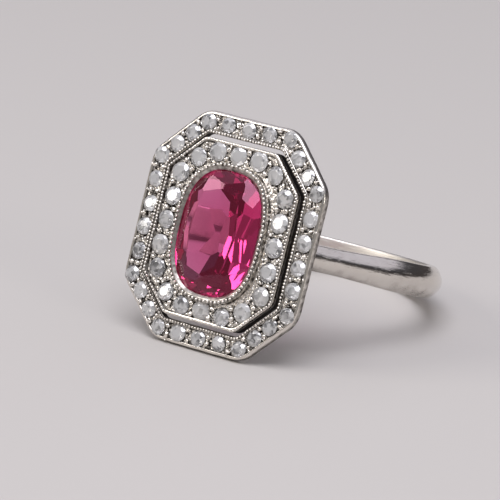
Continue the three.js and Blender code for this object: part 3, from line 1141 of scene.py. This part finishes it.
def sloped(direction, slope_degrees, reach, height):
    """A facet plane that leans `slope_degrees` from level and passes `reach` out at `height`."""
    slope = math.radians(slope_degrees)
    sign = 1.0 if slope_degrees > 0 else -1.0
    normal = np.append(direction * abs(math.sin(slope)), sign * math.cos(slope))
    return normal, float(normal[:2] @ direction * reach + normal[2] * height)


def round_stone(crown_angle, pavilion_angle, table, turns=8):
    """An old round cut of radius 1, with its girdle at height 0: eight mains, stars and halves."""
    planes = []
    top = math.tan(math.radians(crown_angle)) * (1 - table) * 0.93
    for k in range(turns):
        main = 2 * math.pi * k / turns
        between = main + math.pi / turns
        ahead, beside = direction_at(main), direction_at(between)
        planes += [
            sloped(ahead, crown_angle, 1.0, 0.03),
            sloped(beside, crown_angle * 0.55, table * 1.045, top + 0.03),
            sloped(ahead, -pavilion_angle, 1.0, -0.03),
        ]
        for quarter in (-0.5, 0.5):
            slanted = direction_at(main + quarter * math.pi / turns)
            planes += [
                sloped(slanted, crown_angle + 6.0, 1.0, 0.03),
                sloped(slanted, -(pavilion_angle + 3.0), 1.0, -0.03),
                (np.append(slanted, 0.0), 1.0),
            ]
    planes.append((np.array([0.0, 0.0, 1.0]), top + 0.03))
    planes.append((np.array([0.0, 0.0, -1.0]), 0.9 * math.tan(math.radians(pavilion_angle))))
    return stone_from_planes(planes)


# Crown angle, pavilion angle and table of each cut
CUT_ANGLES = [(33.0, 31.0, 0.54), (37.0, 33.0, 0.50), (30.0, 30.0, 0.58)]
cuts = [round_stone(*angles) for angles in CUT_ANGLES]
print("corners and facets of the three cuts:", [(len(c), len(f)) for c, f in cuts])

# %% [markdown]
# Small old diamonds are never perfectly clean or perfectly white, and skin oil clouds them. So
# their glass is a little more than half clear and otherwise milky. A fine cell pattern paints the
# glints of facets seen through facets, every stone has its own slight tint, and a spread of values at
# each corner paints light and dark facets as sparkle. The ruby is clear, but its inside absorbs
# green and much blue, a faint red emission paints the glow that real rubies show in daylight, and
# its reflections are tinted pink.

# %% Diamond and ruby glass
def make_diamond_glass():
    """Half clear, half milky glass. Painted glints from cells and painted light and dark facets from
    corner values, with each stone's tint, set its tone; a thin film varies its roughness.
    """
    material, tree, shader = new_material(
        "diamond_glass", IOR=2.4, Roughness=0.02, Transmission_Weight=0.58
    )
    tint = painted(tree, "tint")
    place = new_node(tree, "ShaderNodeTexCoord")
    film = noise(tree, 3.0, 2400.0)
    glints = new_node(tree, "ShaderNodeTexVoronoi", values={"Scale": 3300.0})
    both = arithmetic(tree, "MULTIPLY_ADD", 1.2)
    shade = colour_band(tree, [(0.08, (0.22, 0.22, 0.225, 1.0)), (0.72, (1.0, 0.99, 0.98, 1.0))])
    dull = ramp(tree, 0.45, 0.80, 0.0, 0.10)
    link_up(tree, [
        (place, "Object", film, "Vector"), (place, "Object", glints, "Vector"),
        (glints, "Color", both, 0), (tint, "Fac", both, 2),
        (both, "Value", shade, "Fac"), (shade, "Color", shader, "Base Color"),
        (film, "Fac", dull, "Value"), (dull, "Result", shader, "Roughness"),
    ])
    return material


def make_ruby_glass():
    """Clear tinted glass round an absorbing inside, with a faint painted red glow from emission that
    stands in for a ruby's fluorescence.
    """
    material, tree, shader = new_material(
        "ruby_glass", IOR=1.77, Roughness=0.01, Transmission_Weight=1.0,
        Specular_Tint=(1.0, 0.42, 0.62, 1.0),
        # A faint emission paints the red glow of a ruby's fluorescence.
        Emission_Color=(0.85, 0.005, 0.20, 1.0), Emission_Strength=0.020,
    )
    place = new_node(tree, "ShaderNodeTexCoord")
    rub = noise(tree, 4.0, 900.0)
    dull = ramp(tree, 0.5, 0.8, 0.0, 0.06)
    tone = colour_band(tree, [(0.0, (0.84, 0.28, 0.50, 1.0)), (1.0, (0.92, 0.40, 0.62, 1.0))])
    inner = noise(tree, 2.0, 260.0)
    inside = {"Color": (0.84, 0.03, 0.45, 1.0), "Density": 300.0}
    absorb = new_node(tree, "ShaderNodeVolumeAbsorption", values=inside)
    output = tree.nodes["Material Output"]
    link_up(tree, [
        (place, "Object", rub, "Vector"), (rub, "Fac", dull, "Value"),
        (dull, "Result", shader, "Roughness"), (place, "Object", inner, "Vector"),
        (inner, "Fac", tone, "Fac"), (tone, "Color", shader, "Base Color"),
        (absorb, "Volume", output, "Volume"),
    ])
    return material


diamond_glass = make_diamond_glass()
ruby_glass = make_ruby_glass()
print("glasses:", diamond_glass.name, "and", ruby_glass.name)

# %% [markdown]
# The fifty small diamonds take one of three cuts each. Each is turned about its own axis, tipped a
# few degrees as hand-set stones are, scaled to its seat and put in place: one matrix product per
# stone.

# %% Setting the diamonds
def tilted_turn(turn, tip_x, tip_y):
    """Rotation matrix: turn about Z, then tip about X and Y by small angles."""
    return np.array(
        Matrix.Rotation(tip_y, 3, "Y") @ Matrix.Rotation(tip_x, 3, "X") @ Matrix.Rotation(turn, 3, "Z")
    )


def set_stones(name, places, level, sizes):
    """Each place gets one of the cuts: turned, tipped, scaled to its seat and moved there."""
    points, polygons, tints, start = [], [], [], 0
    for place, size in zip(places, sizes):
        corners, facets = cuts[draw.integers(len(cuts))]
        tip = draw.normal(0.0, math.radians(3.5), 2)
        spin = tilted_turn(draw.uniform(0, math.pi), tip[0], tip[1])
        points.append(corners @ spin.T * size + np.append(place, level))
        # Each stone a random tint; each corner a spread that paints light and dark facets as sparkle.
        tints.append(draw.uniform(-0.12, 0.30) + draw.normal(0.0, 0.30, len(corners)))
        polygons += [facet + start for facet in facets]
        start += len(corners)
    return new_piece(
        name, np.concatenate(points), by_size(polygons), diamond_glass, "white_metal", 0.0,
        tint=np.concatenate(tints),
    )


set_stones("frame_diamonds", frame_places, frame_level + 0.04, frame_sizes)
set_stones("plate_diamonds", plate_places, plate_level + 0.05, plate_sizes)

# %% [markdown]
# The ruby is an antique cushion: eight main facets above and below, with stars round the table and
# pairs of smaller facets along the girdle. Its planes lean in from a cushion outline, so the reach
# of each one is how far the outline goes in that plane's own direction.

# %% The ruby
def cushion_directions(count, shift=0.0):
    """Outward normals of the cushion outline at `count` even angles."""
    angle = 2 * math.pi * (np.arange(count) + shift) / count
    step = 1e-4
    run = cushion_point(angle + step, STONE_RADIUS) - cushion_point(angle - step, STONE_RADIUS)
    normal = np.stack([run[:, 1], -run[:, 0]], 1)
    return normal / np.linalg.norm(normal, axis=1, keepdims=True)


def cushion_reach(direction, radius):
    """How far the outline of that radius goes along the direction."""
    outline = cushion_point(np.linspace(0, 2 * math.pi, 2880, endpoint=False), radius)
    return float((outline @ direction).max())


# Count, shift, slope, share of the stone's radius, and height at that radius
CROWN_FACETS = [
    (8, 0.0, 35.0, 1.0, GIRDLE_TOP + 0.03),
    (8, 0.5, 20.0, 0.55, TABLE_Z),
    (16, 0.5, 44.0, 1.0, GIRDLE_TOP),
]
# Slope, and the radius at which that slope begins
PAVILION_STEPS = [(27.0, 0.0), (34.0, 1.3), (42.2, 2.5)]


def make_ruby():
    """Crown, table, stepped pavilion, girdle and culet planes, cut to one stone."""
    planes = []
    for count, shift, slope, share, height in CROWN_FACETS:
        for direction in cushion_directions(count, shift):
            reach = cushion_reach(direction, STONE_RADIUS * share)
            planes.append(sloped(direction, slope, reach, height))
    height = CULET_Z
    for step, (slope, start) in enumerate(PAVILION_STEPS):
        end = PAVILION_STEPS[step + 1][1] if step + 1 < len(PAVILION_STEPS) else STONE_RADIUS
        for direction in cushion_directions(8 if step < 2 else 16, 0.5 * (step != 1)):
            planes.append(sloped(direction, -slope, cushion_reach(direction, start), height))
        height += (end - start) * math.tan(math.radians(slope))
    for direction in cushion_directions(32):
        planes.append((np.append(direction, 0.0), cushion_reach(direction, STONE_RADIUS)))
    planes.append((np.array([0.0, 0.0, 1.0]), TABLE_Z))
    planes.append((np.array([0.0, 0.0, -1.0]), -(CULET_Z + 0.08)))
    corners, facets = stone_from_planes(planes)
    return new_piece("cushion_ruby", corners, by_size(facets), ruby_glass, "red_stone", 0.0)


cushion_ruby = make_ruby()
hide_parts("ruby")

# %% [markdown]
# A plain pale floor, far larger than the view, with a soft roughness so that it takes a gentle
# contact shadow.

# %% Floor
def make_floor():
    """A level square, three metres wide, under the ring."""
    half = 1.5
    mesh = bpy.data.meshes.new("floor")
    corners = [(-half, -half, 0), (half, -half, 0), (half, half, 0), (-half, half, 0)]
    mesh.from_pydata(corners, [], [(0, 1, 2, 3)])
    floor = bpy.data.objects.new("floor", mesh)
    bpy.context.scene.collection.objects.link(floor)
    pale = (0.50, 0.475, 0.45, 1.0)
    mesh.materials.append(new_material("pale_floor", Roughness=0.6, Base_Color=pale)[0])
    return floor


floor = make_floor()
print("floor size in m:", [round(v, 2) for v in floor.dimensions])

# %% [markdown]
# Metal shows what is round it, so jewellery is lit with large soft boxes in a dim room. The sky
# here is warm grey in front. Behind, it is dark near the level of the eye and pale lilac above,
# which gives the shank its dark line and its pale one. A window stands in front to the left, a
# large box hangs overhead, and two weak ones fill in.

# %% Light
def make_world():
    """Two skies, one in front and one behind, mixed by how far back a direction points."""
    world = bpy.data.worlds.new("room")
    bpy.context.scene.world = world
    world.use_nodes = True
    tree = world.node_tree
    background = tree.nodes["Background"]
    place = new_node(tree, "ShaderNodeTexCoord")
    split = new_node(tree, "ShaderNodeSeparateXYZ")
    height, behind = ramp(tree, -1.0, 1.0), ramp(tree, -0.1, 0.35)
    front = colour_band(tree, [
        (0.0, (0.20, 0.17, 0.15, 1.0)), (0.50, (0.20, 0.18, 0.16, 1.0)),
        (0.56, (0.42, 0.40, 0.38, 1.0)), (0.72, (0.30, 0.30, 0.32, 1.0)),
        (1.0, (0.55, 0.56, 0.62, 1.0)),
    ])
    back = colour_band(tree, [
        (0.0, (0.20, 0.17, 0.15, 1.0)), (0.50, (0.07, 0.06, 0.06, 1.0)),
        (0.69, (0.07, 0.07, 0.08, 1.0)), (0.75, (0.82, 0.80, 0.90, 1.0)),
        (1.0, (0.75, 0.75, 0.85, 1.0)),
    ])
    mix = new_node(tree, "ShaderNodeMix", data_type="RGBA")
    link_up(tree, [
        (place, "Generated", split, "Vector"), (split, "Z", height, "Value"),
        (split, "Y", behind, "Value"), (behind, "Result", mix, 0),
        (height, "Result", front, "Fac"), (height, "Result", back, "Fac"),
        (front, "Color", mix, 6), (back, "Color", mix, 7),
        (mix, 2, background, "Color"),
    ])
    background.inputs["Strength"].default_value = 0.8


def add_softbox(name, place, size, power, colour):
    """A rectangular area light that faces the ring."""
    light = bpy.data.lights.new(name, "AREA")
    light.shape, light.size, light.size_y = "RECTANGLE", size[0], size[1]
    light.energy, light.color = power, colour
    box = bpy.data.objects.new(name, light)
    aim = Vector((0.0, 0.0, 0.008)) - Vector(place)
    box.rotation_euler = aim.to_track_quat("-Z", "Y").to_euler()
    box.location = place
    bpy.context.scene.collection.objects.link(box)
    return box


make_world()
add_softbox("window", (-0.42, -0.36, 0.34), (0.30, 0.26), 1.2, (1.0, 0.96, 0.90))
add_softbox("overhead", (0.06, -0.12, 0.46), (0.36, 0.34), 1.9, (0.93, 0.93, 1.0))
add_softbox("high_left", (-0.25, 0.01, 0.375), (0.24, 0.30), 0.07, (0.95, 0.92, 1.0))
add_softbox("right_fill", (0.50, -0.10, 0.20), (0.16, 0.16), 0.35, (1.0, 0.95, 0.90))
bpy.context.scene.view_settings.view_transform = "Standard"

# %% [markdown]
# The camera stands a quarter of a metre away with a long lens, a little to the right and above, and
# its own axes are given as three directions, because it is held with a slight tilt.

# %% Camera
def make_camera():
    """A long lens far from the ring, with its three axes written as directions."""
    data = bpy.data.cameras.new("camera")
    data.sensor_width, data.lens = 36.0, 258.75
    data.clip_start, data.clip_end = 0.01, 20.0
    camera = bpy.data.objects.new("camera", data)
    backward = Vector((0.54847, -0.77434, 0.31556)).normalized()
    right = Vector((0.80716, 0.58884, 0.04200))
    right = (right - backward * right.dot(backward)).normalized()
    up = backward.cross(right)
    turn = Matrix((right, up, backward)).transposed().to_4x4()
    camera.matrix_world = Matrix.Translation((0.134048, -0.194225, 0.082917)) @ turn
    bpy.context.scene.collection.objects.link(camera)
    bpy.context.scene.camera = camera
    return camera


camera = make_camera()
print("camera distance in mm:", round(camera.location.length * 1000, 1))

# %% [markdown]
# Last, the view layer is updated.

# %% Finish
bpy.context.view_layer.update()
